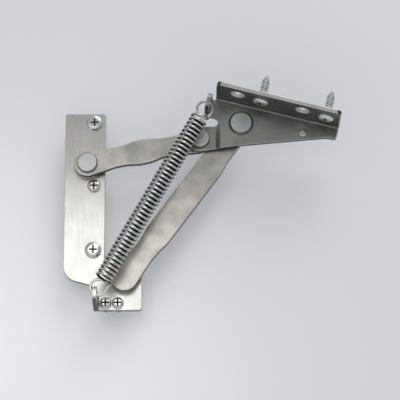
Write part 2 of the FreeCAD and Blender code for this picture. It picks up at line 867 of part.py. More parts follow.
def make_stud():
    body = new_body("web_stud")
    high = web_front + size("stud_rise")
    round_off = size("stud_rise") * 0.5
    section = [
        (ZERO, -web_back),
        (size("stud_shank_radius"), -web_back),
        (size("stud_shank_radius"), -web_front),
        (size("stud_radius"), -web_front),
        (size("stud_radius") - round_off * 0.5, -(high - round_off)),
        (size("stud_face_radius"), -high),
        (ZERO, -high),
    ]
    revolved(body, "stud", section)
    spot = from_bracket(size("stud_right"), size("stud_height"))
    place(body, spot[0], ZERO, spot[1])
    return body


# Screws: head on -Y, point on +Y, with a cross recess


def make_screw(label, head_radius, neck_length):
    """The neck fills the hole of the sheet that the screw holds down."""
    body = new_body(label)
    neck_radius = screw_hole() - size("neck_gap")
    rise = size("pan_head_rise")
    edge = size("head_edge_height")
    shoulder = rise - (rise - edge) * HEAD_SHOULDER_DROP
    section = [
        (ZERO, -rise),
        (head_radius * HEAD_FACE_SHARE, -rise),
        (head_radius * HEAD_SHOULDER_SHARE, -shoulder),
        (head_radius, -edge),
        (head_radius, ZERO),
        (neck_radius, ZERO),
        (neck_radius, neck_length),
        (size("screw_radius"), neck_length),
        (size("screw_radius"), size("screw_length") - size("screw_point")),
        (ZERO, size("screw_length")),
    ]
    revolved(body, "screw", section)
    cross = new_sketch(body, "recess_outline", "XZ_Plane", rise)
    reach = size("recess_arm")
    half = size("recess_width") * 0.5
    quarter = [(reach, -half), (reach, half), (half, half)]
    turned = [(half, reach), (-half, reach), (-half, half)]
    opposite = [(-reach, half), (-reach, -half), (-half, -half)]
    last = [(-half, -reach), (half, -reach), (half, -half)]
    draw_polygon(cross, quarter + turned + opposite + last)
    pocket(body, cross, size("recess_depth"), "recess")
    return body


def make_screws():
    parts = []
    heads = [size("pan_head_radius"), size("small_head_radius"), size("pan_head_radius")]
    names = ["top_cabinet_screw", "middle_cabinet_screw", "low_cabinet_screw"]
    for name, spot, head in zip(names, strip_screws, heads):
        screw = make_screw(name, head, plate_front)
        place(screw, spot[0], -plate_front, spot[1])
        parts.append(screw)
    for name, spot in zip(["left_foot_screw", "right_foot_screw"], foot_screws):
        screw = make_screw(name, size("foot_head_radius"), plate_front)
        place(screw, spot[0], -plate_front, spot[1])
        parts.append(screw)
    for step, name in enumerate(["left_flap_screw", "right_flap_screw"]):
        screw = make_screw(name, size("pan_head_radius"), size("bracket_thickness"))
        along = size("screw_pitch") * step + size("flange_screw_first") - size("flange_left")
        spot = from_bracket(along, flange_under)
        turn = FreeCAD.Rotation(FreeCAD.Vector(0, 1, 0), slope.number)
        upright = FreeCAD.Rotation(FreeCAD.Vector(1, 0, 0), 90)
        screw.Placement = FreeCAD.Placement(FreeCAD.Vector(), turn.multiply(upright))
        bind(screw, ".Placement.Base.x", spot[0])
        bind(screw, ".Placement.Base.y", -flange_hole_depth)
        bind(screw, ".Placement.Base.z", spot[1])
        parts.append(screw)
    return parts


# Tension spring: close coils between two hooks, wound of one wire


def wire_along(points, radius):
    """A solid wire with flat sides along straight runs that meet in mitres."""
    path = Part.makePolygon(points)
    ahead = (points[1] - points[0]).normalize()
    aside = ahead.cross(WIRE_REFERENCE).normalize()
    third = ahead.cross(aside)
    ring = []
    for step in range(WIRE_SIDES + 1):
        turn = 2 * math.pi * step / WIRE_SIDES
        ring.append(points[0] + aside * (radius * math.cos(turn)) + third * (radius * math.sin(turn)))
    return path.makePipeShell([Part.makePolygon(ring)], True, False, 1)


def hook_points(radius):
    """From the open end round the hook to its side, in a plane through the spring's axis."""
    points = []
    for step in range(HOOK_STEPS + 1):
        turn = math.radians(-HOOK_SWEEP * (1 - step / HOOK_STEPS))
        points.append(FreeCAD.Vector(radius * math.cos(turn), 0, radius * math.sin(turn)))
    return points


def make_spring():
    radius = sheet.get("spring_mean_radius")
    wire = sheet.get("spring_wire_radius")
    neck = sheet.get("spring_neck")
    run = spring_top_hole[0].number - spring_foot_hole[0].number
    rise = spring_top_hole[1].number - spring_foot_hole[1].number
    seat = radius - sheet.get("hook_seat")
    span = math.hypot(run, rise)
    reach = span - 2 * seat
    pitch = (reach - 2 * neck) / COIL_TURNS

    coil = hook_points(radius)
    coil.append(FreeCAD.Vector(radius, 0, neck - wire))
    for step in range(1, COIL_TURNS * SEGMENTS_PER_TURN + 1):
        turn = 2 * math.pi * step / SEGMENTS_PER_TURN
        height = neck + pitch * step / SEGMENTS_PER_TURN
        coil.append(FreeCAD.Vector(radius * math.cos(turn), radius * math.sin(turn), height))

    # the upper hook starts on top of the last turn
    hook = [FreeCAD.Vector(radius, 0, reach - neck + wire + sheet.get("seat_gap"))]
    for point in reversed(hook_points(radius)):
        hook.append(FreeCAD.Vector(point.x, 0, reach - point.z))

    lean = FreeCAD.Rotation(FreeCAD.Vector(0, 1, 0), math.degrees(math.atan2(run, rise)))
    start = FreeCAD.Vector(
        spring_foot_hole[0].number + seat * run / span,
        -tab_hole_depth.number,
        spring_foot_hole[1].number + seat * rise / span,
    )
    parts = []
    for label, points in (("tension_spring", coil), ("spring_top_hook", hook)):
        feature = document.addObject("Part::Feature", label)
        feature.Label = label
        feature.Shape = wire_along(points, wire)
        feature.Placement = FreeCAD.Placement(start, lean)
        parts.append(feature)
    return parts


def build_all():
    ring_top = plate_front + size("pivot_ring_thickness")
    upper_top = size("upper_near_depth") + size("arm_thickness") + size("running_gap")
    ring_sizes = (size("pivot_ring_radius"), size("pivot_ring_thickness"), seat_bore)
    washer_sizes = (size("washer_radius"), size("washer_thickness"), arm_bore)
    lobe_washer = size("upper_far_depth") - size("running_gap") - size("washer_thickness")
    web_washer = size("lower_far_depth") - size("running_gap") - size("washer_thickness")
    parts = [
        make_base_plate(),
        make_arm("upper_arm", upper_pivot, lobe_pivot, "upper"),
        make_arm("lower_arm", lower_pivot, bracket_pivot, "lower"),
        make_flap_bracket(),
        make_ring("upper_pivot_ring", upper_pivot, plate_front, *ring_sizes),
        make_ring("lower_pivot_ring", lower_pivot, plate_front, *ring_sizes),
        make_ring("lobe_washer", lobe_pivot, lobe_washer, *washer_sizes),
        make_ring("web_washer", bracket_pivot, web_washer, *washer_sizes),
        make_side_rivet("upper_pivot_rivet", upper_pivot, upper_top, True),
        make_side_rivet("lower_pivot_rivet", lower_pivot, ring_top, False),
        make_bracket_rivet(
            "lobe_rivet",
            lobe_pivot,
            lobe_front,
            size("upper_far_depth"),
            size("side_head_radius"),
            size("head_bevel") * 0.5,
        ),
        make_bracket_rivet(
            "web_rivet",
            bracket_pivot,
            web_front,
            size("lower_far_depth"),
            size("broad_head_radius"),
            size("head_bevel"),
        ),
        make_stud(),
    ]
    return parts + make_screws() + make_spring()


def check_and_write(parts):
    document.recompute()
    for thing in document.Objects:
        if "Invalid" in thing.State or "Error" in thing.State:
            raise RuntimeError(f"{thing.Name} failed: {thing.State}")
    for part in parts:
        if part.Shape.isNull() or not part.Shape.isValid() or not part.Shape.Solids:
            raise RuntimeError(f"{part.Label} has no sound solid")
    os.makedirs("parts", exist_ok=True)
    for part in parts:
        part.Shape.exportStep(f"parts/{part.Label}.step")


check_and_write(build_all())
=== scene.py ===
import json
import math

import bmesh
import bpy
from bpy.props import FloatProperty, IntProperty, PointerProperty, StringProperty
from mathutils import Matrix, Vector
from mathutils.bvhtree import BVHTree


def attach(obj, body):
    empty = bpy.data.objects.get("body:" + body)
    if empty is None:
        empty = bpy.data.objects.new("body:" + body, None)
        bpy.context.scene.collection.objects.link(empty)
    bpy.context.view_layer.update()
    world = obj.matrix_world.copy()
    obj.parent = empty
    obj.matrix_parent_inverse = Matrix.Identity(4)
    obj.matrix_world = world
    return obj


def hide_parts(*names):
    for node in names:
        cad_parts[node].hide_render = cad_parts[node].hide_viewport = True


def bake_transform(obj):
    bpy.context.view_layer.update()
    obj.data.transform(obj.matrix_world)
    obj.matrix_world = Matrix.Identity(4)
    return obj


bl_info = {
    "name": "Lid stay",
    "version": (1, 0, 0),
    "blender": (4, 5, 0),
    "location": "View3D > Sidebar > Lid stay",
    "description": "Plating, sheared edges, wound wire and screw threads for the packed lid stay",
    "category": "Object",
}

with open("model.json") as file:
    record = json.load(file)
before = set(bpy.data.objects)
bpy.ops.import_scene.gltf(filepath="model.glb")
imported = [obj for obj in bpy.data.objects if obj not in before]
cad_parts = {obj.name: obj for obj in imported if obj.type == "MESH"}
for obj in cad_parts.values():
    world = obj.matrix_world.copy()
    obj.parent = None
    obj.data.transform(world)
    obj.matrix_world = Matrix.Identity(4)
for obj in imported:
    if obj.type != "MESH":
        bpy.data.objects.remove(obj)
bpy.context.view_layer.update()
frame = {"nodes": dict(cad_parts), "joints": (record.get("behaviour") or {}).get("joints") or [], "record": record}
MM = 0.001

# each piece with the body it rides on and the record's slot of its finish
PRESSED = {
    "base_plate": ("base", "plate_steel"),
    "upper_arm": ("upper_arm", "arm_steel"),
    "lower_arm": ("lower_arm", "arm_steel"),
    "flap_bracket": ("bracket", "bracket_steel"),
}
TURNED = {
    "upper_pivot_rivet": ("base", "rivet_steel"),
    "lower_pivot_rivet": ("base", "rivet_steel"),
    "lobe_rivet": ("bracket", "rivet_steel"),
    "web_rivet": ("bracket", "rivet_steel"),
    "web_stud": ("bracket", "rivet_steel"),
    "upper_pivot_ring": ("base", "ring_steel"),
    "lower_pivot_ring": ("base", "ring_steel"),
}
SCREWS = {
    "top_cabinet_screw": ("base", "screw_steel"),
    "middle_cabinet_screw": ("base", "screw_steel"),
    "low_cabinet_screw": ("base", "screw_steel"),
    "left_foot_screw": ("base", "screw_steel"),
    "right_foot_screw": ("base", "screw_steel"),
    "left_flap_screw": ("bracket", "screw_steel"),
    "right_flap_screw": ("bracket", "screw_steel"),
}
WASHERS = ("lobe_washer", "web_washer")

# each finish by its key, named for the metal and how its surface was made, or for the painted shade it carries
FINISH_NAMES = {
    "plate_steel": "Nickel-plated pressed steel, plate",
    "arm_steel": "Nickel-plated pressed steel, arms",
    "bracket_steel": "Nickel-plated folded steel",
    "ring_steel": "Nickel-plated turned steel, rings",
    "rivet_steel": "Nickel-plated turned steel, rivets",
    "screw_steel": "Bright nickel-plated screw steel",
    "spring_wire": "Bright nickel-plated spring wire",
    "underside": "Painted shade on undersides",
    "sheared_and_shaded_side": "Nickel on sheared steel, with painted shade",
    "trimmed_side": "Nickel on trimmed steel",
    "shaded_rim": "Painted shade on turned rims",
    "recess": "Painted shade in a driven recess",
}

# a pressed piece's material slots, after slot 0 for its main faces
# sheared sides, darkened partly as painted shade
SHEARED_AND_SHADED = 1
TRIMMED = 2
# what faces down, darkened as painted shade
UNDERSIDE_SHADE = 3
# the second material slot of a turned piece and of a screw
RIM = 1
RECESS = 1


def joint(name):
    for entry in frame["joints"]:
        if entry["name"] == name:
            return entry
    raise RuntimeError(f"the frame has no joint {name}")


def mount(name):
    for entry in frame["record"]["mounts"]:
        if entry["name"] == name:
            return entry
    raise RuntimeError(f"the record has no mount {name}")


def linear(hex_colour):
    """An sRGB hex colour such as c8c8c4 as linear red, green, blue and alpha."""
    channels = []
    for start in (0, 2, 4):
        value = int(hex_colour[start:start + 2], 16) / 255
        low = value / 12.92
        high = ((value + 0.055) / 1.055) ** 2.4
        channels.append(low if value <= 0.04045 else high)
    return (*channels, 1.0)


def node(tree, kind, settings=None, values=None, links=None):
    """Add a node, set its properties and sockets, and link its inputs."""
    made = tree.nodes.new(kind)
    for key, value in (settings or {}).items():
        setattr(made, key, value)
    for key, value in (values or {}).items():
        made.inputs[key].default_value = value
    for key, source in (links or {}).items():
        tree.links.new(source, made.inputs[key])
    return made


def in_scene(name, data):
    """A new object in the scene that holds a mesh, a lamp or a camera."""
    made = bpy.data.objects.new(name, data)
    bpy.context.scene.collection.objects.link(made)
    return made


# Settings that a user would change


class EdgeSettings(bpy.types.PropertyGroup):
    edge_round: FloatProperty(
        name="Edge round", description="Round on a sheet's edges, drawn wide enough to show",
        default=0.7 * MM, unit="LENGTH")
    thickest_sheet: FloatProperty(
        name="Thickest sheet", description="Faces with more metal behind them are sheared sides",
        default=3.4 * MM, unit="LENGTH")
    widest_hole: FloatProperty(
        name="Widest hole", description="Sheared sides that face each other across less are holes",
        default=8 * MM, unit="LENGTH")
    recess_reach: FloatProperty(
        name="Recess reach", description="Screw's axis to the outside of its cross recess",
        default=2.3 * MM, unit="LENGTH")
    recess_drop: FloatProperty(
        name="Recess drop", description="Top of a screw's head to where its recess starts",
        default=0.4 * MM, unit="LENGTH")


class SpringSettings(bpy.types.PropertyGroup):
    coil_radius: FloatProperty(
        name="Coil radius", description="Middle of the wire to the spring's axis",
        default=3.8 * MM, unit="LENGTH")
    wire_radius: FloatProperty(
        name="Wire radius", description="Radius of the wire", default=0.7 * MM, unit="LENGTH")
    neck: FloatProperty(
        name="Neck", description="Hook's middle to the first turn", default=4.75 * MM, unit="LENGTH")
    turns: IntProperty(name="Turns", description="Turns of the coil", default=42, min=1)
    wire_sides: IntProperty(
        name="Wire sides", description="Flats round the wire", default=14, min=6)


class ThreadSettings(bpy.types.PropertyGroup):
    pitch: FloatProperty(
        name="Pitch", description="One turn's advance", default=1.6 * MM, unit="LENGTH")
    ridge: FloatProperty(
        name="Ridge", description="Radius of the three-sided ridge",
        default=0.42 * MM, unit="LENGTH")


class FinishSettings(bpy.types.PropertyGroup):
    plate: StringProperty(name="Plate", description="Nickel on the base plate", default="c8c6c1")
    arm: StringProperty(name="Arms", description="Nickel on the arms", default="c4c0b9")
    bracket: StringProperty(name="Bracket", description="Nickel on the bracket", default="9c9d96")
    # painted shade on what faces down
    underside: StringProperty(
        name="Undersides", description="Painted shade on what faces down", default="6a6b66")
    rivet: StringProperty(name="Rivets", description="Nickel on the rivets", default="c6c7c6")
    wire: StringProperty(name="Wire", description="Nickel on the wire", default="d0d0cc")
    screw: StringProperty(name="Screws", description="Nickel on the screws", default="d0d0cd")
    # dark on the sheared sides, partly their own rough tone and partly painted shade
    sheared: StringProperty(
        name="Sheared", description="Nickel on the sheet's sheared sides", default="4a4943")
    # the rims' dark tone is painted shade
    turned: StringProperty(
        name="Turned", description="Nickel on the rims of rivets and rings", default="84837e")
    # painted shade, nearly black, for the cross recesses and the coil's inner side
    recess: StringProperty(
        name="Recess", description="Inside the cross recesses and the coil", default="353534")
    # the colour of a painted highlight along the edges of every finish
    edge_highlight: StringProperty(name="Edge highlight", description="Nickel rubbed bright", default="eeece8")


class StageSettings(bpy.types.PropertyGroup):
    wall_gap: FloatProperty(
        name="Wall gap", description="Plate's back to the wall", default=12.5 * MM, unit="LENGTH")
    distance: FloatProperty(
        name="Camera distance", description="Camera to the stay", default=1.2, unit="LENGTH")
    elevation: FloatProperty(
        name="Elevation", description="Camera's angle above the horizon",
        default=math.radians(-17), unit="ROTATION")
    lens: FloatProperty(name="Lens", description="Focal length in mm", default=226.1)
    wall: StringProperty(name="Wall", description="Colour of the wall and floor", default="f5f6f9")
    room: StringProperty(name="Room", description="Colour of the room's light", default="bfc0c3")


# Finishes


def scratches(tree, place, grain_mm, stretch):
    """Scratches, as values about 0.5. Real ones are too fine to show, so these are coarser."""
    scale = 1 / (grain_mm * MM)
    brushed = node(
        tree, "ShaderNodeMapping",
        values={"Scale": [scale / part for part in stretch]}, links={"Vector": place})
    noise = node(
        tree, "ShaderNodeTexNoise",
        values={"Scale": 1.0, "Detail": 3.0, "Roughness": 0.6},
        links={"Vector": brushed.outputs["Vector"]})
    return noise.outputs["Fac"]


def patched(tree, place, colour, shade):
    """The colour, with patches about 10 mm across where the bath left the nickel duller."""
    noise = node(
        tree, "ShaderNodeTexNoise",
        values={"Scale": 1 / (10 * MM), "Detail": 5.0}, links={"Vector": place})
    uneven = node(
        tree, "ShaderNodeMapRange", values={"From Min": 0.35, "From Max": 0.65},
        links={"Value": noise.outputs["Fac"]})
    tone = node(
        tree, "ShaderNodeMix", settings={"data_type": "RGBA"},
        links={"Factor": uneven.outputs["Result"]})
    bright = linear(colour)
    tone.inputs["A"].default_value = [part * shade for part in bright[:3]] + [1.0]
    tone.inputs["B"].default_value = bright
    return tone.outputs["Result"]


def covered(tree, tone, share, colour):
    """The tone, covered by another colour where the share is 1."""
    both = node(
        tree, "ShaderNodeMix", settings={"data_type": "RGBA"}, links={"Factor": share, "A": tone})
    both.inputs["B"].default_value = linear(colour)
    return both.outputs["Result"]


def highlighted(tree, tone, rounded, edge_highlight):
    """The tone, with a painted highlight where the rounded edge leans away from the face it is on."""
    # the cosine of the lean at which the painted highlight on an edge starts, and at which it is brightest
    starts = 0.99
    most = 0.86
    face = node(tree, "ShaderNodeNewGeometry").outputs["Normal"]
    lean = node(tree, "ShaderNodeVectorMath", settings={"operation": "DOT_PRODUCT"})
    tree.links.new(rounded, lean.inputs[0])
    tree.links.new(face, lean.inputs[1])
    highlight_share = node(
        tree, "ShaderNodeMapRange",
        values={"From Min": most, "From Max": starts, "To Min": edge_highlight, "To Max": 0.0},
        links={"Value": lean.outputs["Value"]})
    return covered(tree, tone, highlight_share.outputs["Result"], bpy.context.scene.stay_finish.edge_highlight)


def plated_steel(
        key, colour, dull, grain_mm, stretch=(1, 1, 1), shade=0.86, edge_highlight=0.7, edge_share=1.0,
        inside=""):
    """Nickel on worked steel, with its edges rounded in shading and a painted highlight along them.

    dull is the roughness, and grain_mm the spacing of the scratches across the brushing.
    stretch is how much longer they are along X, Y and Z, and shade is how dark the duller
    patches are. The value after shade is how bright a painted highlight on the edges is, and
    edge_share is their round as a share of a sheet's. The last argument names an attribute that is 1 where shade
    is painted on.
    """
    # a scratch is rougher than the polish beside it
    smoother = 0.05
    rougher = 0.06
    scene = bpy.context.scene
    made = bpy.data.materials.new(FINISH_NAMES[key])
    made.use_nodes = True
    tree = made.node_tree
    place = node(tree, "ShaderNodeTexCoord").outputs["Object"]
    grain = scratches(tree, place, grain_mm, stretch)
    dulling = node(
        tree, "ShaderNodeMapRange",
        values={"From Min": 0.3, "From Max": 0.7, "To Min": dull - smoother, "To Max": dull + rougher},
        links={"Value": grain})

    # the real round, guessed at 0.3 mm, is too fine to show, so it is drawn wider
    rounded = node(
        tree, "ShaderNodeBevel", settings={"samples": 6},
        values={"Radius": scene.stay_edges.edge_round * edge_share}).outputs["Normal"]
    relief = node(
        tree, "ShaderNodeBump", values={"Strength": 0.06, "Distance": 0.02 * MM},
        links={"Height": grain, "Normal": rounded})
    # the edges get a painted highlight in the worn-edge colour
    tone = highlighted(tree, patched(tree, place, colour, shade), rounded, edge_highlight)
    # where the named attribute is 1, the tone is covered with painted shade
    if inside:
        painted_coil_shade = node(
            tree, "ShaderNodeAttribute", settings={"attribute_name": inside}).outputs["Fac"]
        tone = covered(tree, tone, painted_coil_shade, scene.stay_finish.recess)

    surface = tree.nodes["Principled BSDF"]
    surface.inputs["Metallic"].default_value = 1.0
    tree.links.new(tone, surface.inputs["Base Color"])
    tree.links.new(dulling.outputs["Result"], surface.inputs["Roughness"])
    tree.links.new(relief.outputs["Normal"], surface.inputs["Normal"])


def make_finishes(colours):
    """Each finish, with what its working gives the eye. The tones are matched to the photo."""
    # the plate is brushed down its length, which gives soft streaks from top to bottom
    plated_steel(
        "plate_steel", colours.plate, dull=0.30, grain_mm=0.3, stretch=(1, 1, 30), shade=0.88,
        edge_highlight=0.9)
    # the arms are tumbled, which leaves a fine even grain with no direction, and soft patches
    plated_steel("arm_steel", colours.arm, dull=0.34, grain_mm=0.4, shade=0.66, edge_highlight=1.0)
    # the bracket is grained along its flange, and is darker and greener than the plate
    plated_steel(
        "bracket_steel", colours.bracket, dull=0.31, grain_mm=0.4, stretch=(6, 1, 1), shade=0.82,
        edge_highlight=0.8)
    # the rings are turned, and as dull as the arms that rest on them
    plated_steel("ring_steel", colours.arm, dull=0.35, grain_mm=0.3)
    # rivet faces are turned, then pressed flat, which leaves them paler and more matt
    plated_steel(
        "rivet_steel", colours.rivet, dull=0.38, grain_mm=0.3, shade=0.84, edge_highlight=0.3,
        edge_share=0.4)
    # the screws are plated bright, so their heads glint
    plated_steel(
        "screw_steel", colours.screw, dull=0.24, grain_mm=0.3, shade=0.88, edge_highlight=0.5,
        edge_share=0.3)
    # drawn wire is smooth and bright outside, and shade is painted on the coil's inner side, where light hardly
    # reaches
    plated_steel(
        "spring_wire", colours.wire, dull=0.24, grain_mm=0.3, shade=0.88, edge_highlight=0.0,
        edge_share=0.1, inside="inside")
    # sheared sides are torn across the grain, so they are rough and dark, and the dark is deepened as painted
    # shade along the edges
    plated_steel(
        "sheared_and_shaded_side", colours.sheared, dull=0.42, grain_mm=0.25, shade=0.7, edge_highlight=0.1,
        edge_share=0.4)
    # what faces down, such as the inside of the bracket's fold, is darkened as painted shade
    plated_steel(
        "underside", colours.underside, dull=0.34, grain_mm=0.4, stretch=(6, 1, 1), shade=0.8,
        edge_highlight=0.9)
    # the flange's front is trimmed and the holes are pierced clean, so both stay bright
    plated_steel("trimmed_side", colours.plate, dull=0.30, grain_mm=0.3, shade=0.8)
    # the rims of rivets and rings keep their turning marks, which makes them dull, and their dark tone is painted
    # shade
    plated_steel(
        "shaded_rim", colours.turned, dull=0.36, grain_mm=0.25, shade=0.8, edge_highlight=0.5,
        edge_share=0.4)
    # a screw's recess gets painted shade, nearly black and dull
    plated_steel(
        "recess", colours.recess, dull=0.5, grain_mm=0.25, shade=0.7, edge_highlight=0.0, edge_share=0.1)


def finishes():
    """Every finish by its key, made once."""
    if FINISH_NAMES["plate_steel"] not in bpy.data.materials:
        make_finishes(bpy.context.scene.stay_finish)
    return {key: bpy.data.materials[name] for key, name in FINISH_NAMES.items()}


# Pieces that take the shape of a CAD node


def merged_copy(part):
    """A CAD node's loose triangles as one closed bmesh in its first material."""
    shape = bmesh.new()
    shape.from_mesh(frame["nodes"][part].data)
    bmesh.ops.remove_doubles(shape, verts=shape.verts, dist=0.001 * MM)
    for face in shape.faces:
        face.material_index = 0
    return shape


def even_normals(mesh):
    """Corner normals that follow the largest of the faces that bend gently into each other.

    A press leaves no crease where a joggle starts, so the sheet shades on through it.
    """
    around = [[] for _ in mesh.vertices]
    for face in mesh.polygons:
        for corner in face.vertices:
            around[corner].append(face)
    # faces that meet at less than 30 degrees bend gently
    gentle = math.cos(math.radians(30))
    normals = []
    for face in mesh.polygons:
        for corner in face.vertices:
            total = Vector()
            for other in around[corner]:
                if other.normal.dot(face.normal) > gentle:
                    total += other.normal * (other.area / MM ** 2) ** 2
            normals.append(total.normalized())
    mesh.normals_split_custom_set(normals)


def finished(part, shape, body, slot, *marked):
    """The piece that stands for a CAD node, with its marked faces in finishes of their own."""
    flat = math.radians(0.1)
    bmesh.ops.dissolve_limit(
        shape, angle_limit=flat, verts=shape.verts, edges=shape.edges, delimit={"MATERIAL"})
    mesh = bpy.data.meshes.new(part + "_finished")
    shape.to_mesh(mesh)
    shape.free()
    mesh.shade_smooth()
    for finish in (slot, *marked):
        mesh.materials.append(finishes()[finish])
    even_normals(mesh)
    piece = in_scene(part + "_finished", mesh)
    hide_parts(part)
    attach(piece, body)


def mark_sheared(shape, thickest, widest_hole):
    """Mark the sides of a sheet, which have more metal behind them than it is thick.

    Holes are pierced clean, and edges that face the front are trimmed, so they are marked apart.
    """
    # a face whose normal has a Y below this looks to the front
    front = -0.9
    # rays start this far off the face, so that they don't meet it
    skin = 0.01 * MM
    sheet = BVHTree.FromBMesh(shape)
    for face in shape.faces:
        middle = face.calc_center_median()
        depth = sheet.ray_cast(middle - face.normal * skin, -face.normal)[3]
        if depth is None or depth > thickest:
            across = sheet.ray_cast(middle + face.normal * skin, face.normal)[3]
            in_hole = across is not None and across < widest_hole
            clean = in_hole or face.normal.y < front
            # sides that don't face the front get the dark sheared finish, which is partly painted shade
            face.material_index = TRIMMED if clean else SHEARED_AND_SHADED


def mark_shaded_undersides(shape):
    """Mark what faces down and isn't marked yet, for painted shade.

    That is the flange's underside, the inside of its bend, and the low sides round a hole,
    which have too little metal behind them to be marked as sheared.
    """
    # a face whose normal has a Z below this looks down
    down = -0.5
    for face in shape.faces:
        if face.material_index == 0 and face.normal.z < down:
            face.material_index = UNDERSIDE_SHADE


def mark_rims(shape):
    """Mark the bevels and sides of a rivet or ring, whose normals lean 44 degrees or more, for painted shade."""
    bevel = math.cos(math.radians(44))
    for face in shape.faces:
        if abs(face.normal.y) < bevel:
            face.material_index = RIM


def mark_recess(shape, screw, reach, drop):
    """Mark the floor and walls of a screw's cross recess."""
    # a face whose normal goes less than this along the screw is a wall
    wall = 0.5
    along = Vector(mount(screw)["axis"])
    seat = Vector(mount(screw)["pos_m"])
    top = min((vertex.co - seat).dot(along) for vertex in shape.verts)
    for face in shape.faces:
        place = face.calc_center_median() - seat
        height = place.dot(along)
        away = (place - along * height).length
        steep = abs(face.normal.dot(along)) < wall
        if height < 0 and away < reach and (steep or height - top > drop):
            face.material_index = RECESS


# Pieces from Geometry Nodes


def node_tree(name, inputs):
    """A Geometry Nodes tree with a geometry input and output and the named inputs."""
    tree = bpy.data.node_groups.new(name, "GeometryNodeTree")
    tree.interface.new_socket("Geometry", in_out="INPUT", socket_type="NodeSocketGeometry")
    for label, kind in inputs.items():
        tree.interface.new_socket(label, in_out="INPUT", socket_type=kind)
    tree.interface.new_socket("Geometry", in_out="OUTPUT", socket_type="NodeSocketGeometry")
    given = tree.nodes.new("NodeGroupInput").outputs
    output = tree.nodes.new("NodeGroupOutput").inputs
    return tree, given, output


def finish_tree(tree, geometry, material, output):
    """Realize Instances, then Set Material, at the end of a tree."""
    whole = node(tree, "GeometryNodeRealizeInstances", links={"Geometry": geometry})
    painted = node(
        tree, "GeometryNodeSetMaterial",
        links={"Geometry": whole.outputs["Geometry"], "Material": material})
    tree.links.new(painted.outputs["Geometry"], output["Geometry"])


def run_tree(tree, points, edges, values, name):
    """Run a tree on points and edges, and return what it makes as a plain mesh object."""
    guide = bpy.data.meshes.new(name + "_guide")
    guide.from_pydata([tuple(point) for point in points], edges, [])
    maker = in_scene(name + "_maker", guide)
    modifier = maker.modifiers.new(tree.name, "NODES")
    modifier.node_group = tree
    for item in tree.interface.items_tree:
        if item.in_out == "INPUT" and item.name in values:
            modifier[item.identifier] = values[item.name]
    graph = bpy.context.evaluated_depsgraph_get()
    mesh = bpy.data.meshes.new_from_object(maker.evaluated_get(graph))
    mesh.name = name
    bpy.data.objects.remove(maker)
    return in_scene(name, mesh)


def wound_wire_tree():
    """A round wire along the guide's edges, with closed ends."""
    tree, given, output = node_tree("Wound wire", {
        "Wire Radius": "NodeSocketFloat",
        "Sides": "NodeSocketInt",
        "Finish": "NodeSocketMaterial",
    })
    path = node(tree, "GeometryNodeMeshToCurve", links={"Mesh": given["Geometry"]})
    section = node(
        tree, "GeometryNodeCurvePrimitiveCircle",
        links={"Radius": given["Wire Radius"], "Resolution": given["Sides"]})
    wire = node(
        tree, "GeometryNodeCurveToMesh", values={"Fill Caps": True},
        links={"Curve": path.outputs["Curve"], "Profile Curve": section.outputs["Curve"]})
    smooth = node(tree, "GeometryNodeSetShadeSmooth", links={"Geometry": wire.outputs["Mesh"]})
    finish_tree(tree, smooth.outputs["Geometry"], given["Finish"], output)
    return tree


def thread_tree():
    """A three-sided ridge wound round each screw's shank, and on down its point."""
    turn_steps = 24
    tip_radius = 0.2 * MM
    tree, given, output = node_tree("Screw threads", {
        "Shank Radius": "NodeSocketFloat",
        "Shank Length": "NodeSocketFloat",
        "Shank Turns": "NodeSocketFloat",
        "Point Length": "NodeSocketFloat",
        "Point Turns": "NodeSocketFloat",
        "Ridge": "NodeSocketFloat",
        "Rotation": "NodeSocketRotation",
        "Finish": "NodeSocketMaterial",
    })
    shank = node(
        tree, "GeometryNodeCurveSpiral", values={"Resolution": turn_steps},
        links={"Rotations": given["Shank Turns"], "Start Radius": given["Shank Radius"],
               "End Radius": given["Shank Radius"], "Height": given["Shank Length"]})
    point = node(
        tree, "GeometryNodeCurveSpiral",
        values={"Resolution": turn_steps, "End Radius": tip_radius},
        links={"Rotations": given["Point Turns"], "Start Radius": given["Shank Radius"],
               "Height": given["Point Length"]})
    down = node(tree, "ShaderNodeCombineXYZ", links={"Z": given["Shank Length"]})
    lowered = node(
        tree, "GeometryNodeTransform",
        links={"Geometry": point.outputs["Curve"], "Translation": down.outputs["Vector"]})
    both = node(tree, "GeometryNodeJoinGeometry")
    tree.links.new(shank.outputs["Curve"], both.inputs["Geometry"])
    tree.links.new(lowered.outputs["Geometry"], both.inputs["Geometry"])
    section = node(
        tree, "GeometryNodeCurvePrimitiveCircle", values={"Resolution": 3},
        links={"Radius": given["Ridge"]})
    ridge = node(
        tree, "GeometryNodeCurveToMesh", values={"Fill Caps": True},
        links={"Curve": both.outputs["Geometry"], "Profile Curve": section.outputs["Curve"]})
    placed = node(
        tree, "GeometryNodeInstanceOnPoints",
        links={"Points": given["Geometry"], "Instance": ridge.outputs["Mesh"],
               "Rotation": given["Rotation"]})
    finish_tree(tree, placed.outputs["Instances"], given["Finish"], output)
    return tree


# The tension spring


def reach_along(part, foot, along, pick):
    """How far a CAD node reaches from the foot along the spring, at its min or max."""
    return pick((vertex.co - foot).dot(along) for vertex in frame["nodes"][part].data.vertices)


